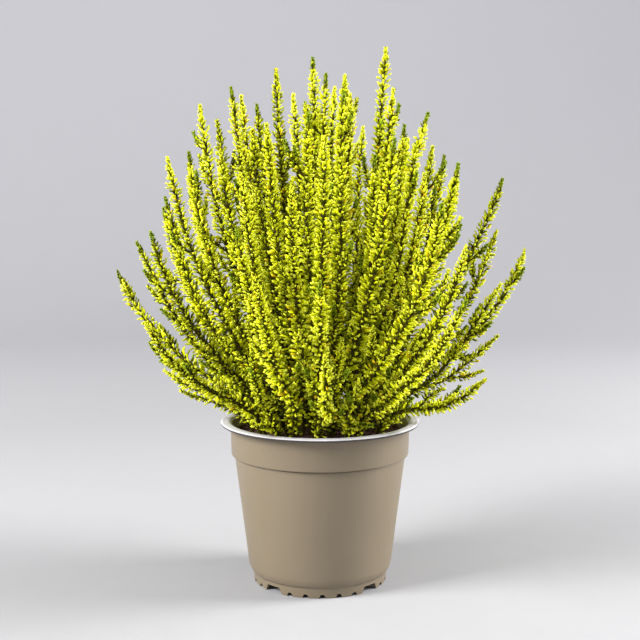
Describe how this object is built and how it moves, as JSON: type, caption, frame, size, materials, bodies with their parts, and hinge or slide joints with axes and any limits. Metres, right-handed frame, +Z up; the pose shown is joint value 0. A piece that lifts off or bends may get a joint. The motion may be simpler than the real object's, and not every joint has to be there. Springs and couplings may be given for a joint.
{
  "type": "potted heather",
  "caption": "Bushy upright heather with lime-yellow leafy shoots, rooted in peat in a round, tapered plastic nursery pot with a flanged rim and a notched foot ring.",
  "frame": {"origin": "centre of the pot's footprint, in the plane that it stands on", "axes": "+Z up along the pot's axis; -Y is the side towards the viewer of the picture, and +X is that viewer's right"},
  "size_m": [0.224, 0.2139, 0.294],
  "materials": {
    "pot": "thin two-tone plastic, taupe outside and pale grey at the rim and inside, satin",
    "soil": "moist dark brown peat, crumbly and matt",
    "foliage": "lime-yellow scale leaves and buds, greener inside and at the tips, on thin brown woody stems"
  },
  "bodies": {
    "root": {"pot": "pot", "potting_soil": "soil", "spray_01": "foliage", "spray_02": "foliage", "spray_03": "foliage", "spray_04": "foliage", "spray_05": "foliage", "spray_06": "foliage", "spray_07": "foliage", "spray_08": "foliage", "spray_09": "foliage", "spray_10": "foliage", "spray_11": "foliage", "spray_12": "foliage", "spray_13": "foliage", "spray_14": "foliage", "spray_15": "foliage", "spray_16": "foliage", "spray_17": "foliage", "spray_18": "foliage", "spray_19": "foliage", "spray_20": "foliage", "spray_21": "foliage", "spray_22": "foliage", "spray_23": "foliage", "spray_24": "foliage", "spray_25": "foliage", "spray_26": "foliage", "spray_27": "foliage", "spray_28": "foliage", "spray_29": "foliage", "spray_30": "foliage", "spray_31": "foliage", "spray_32": "foliage", "spray_33": "foliage", "spray_34": "foliage", "spray_35": "foliage", "spray_36": "foliage", "spray_37": "foliage", "spray_38": "foliage", "spray_39": "foliage", "spray_40": "foliage", "spray_41": "foliage", "spray_42": "foliage", "spray_43": "foliage", "spray_44": "foliage", "spray_45": "foliage", "spray_46": "foliage", "spray_47": "foliage", "spray_48": "foliage", "spray_49": "foliage", "spray_50": "foliage", "spray_51": "foliage"}
  },
  "joints": []
}
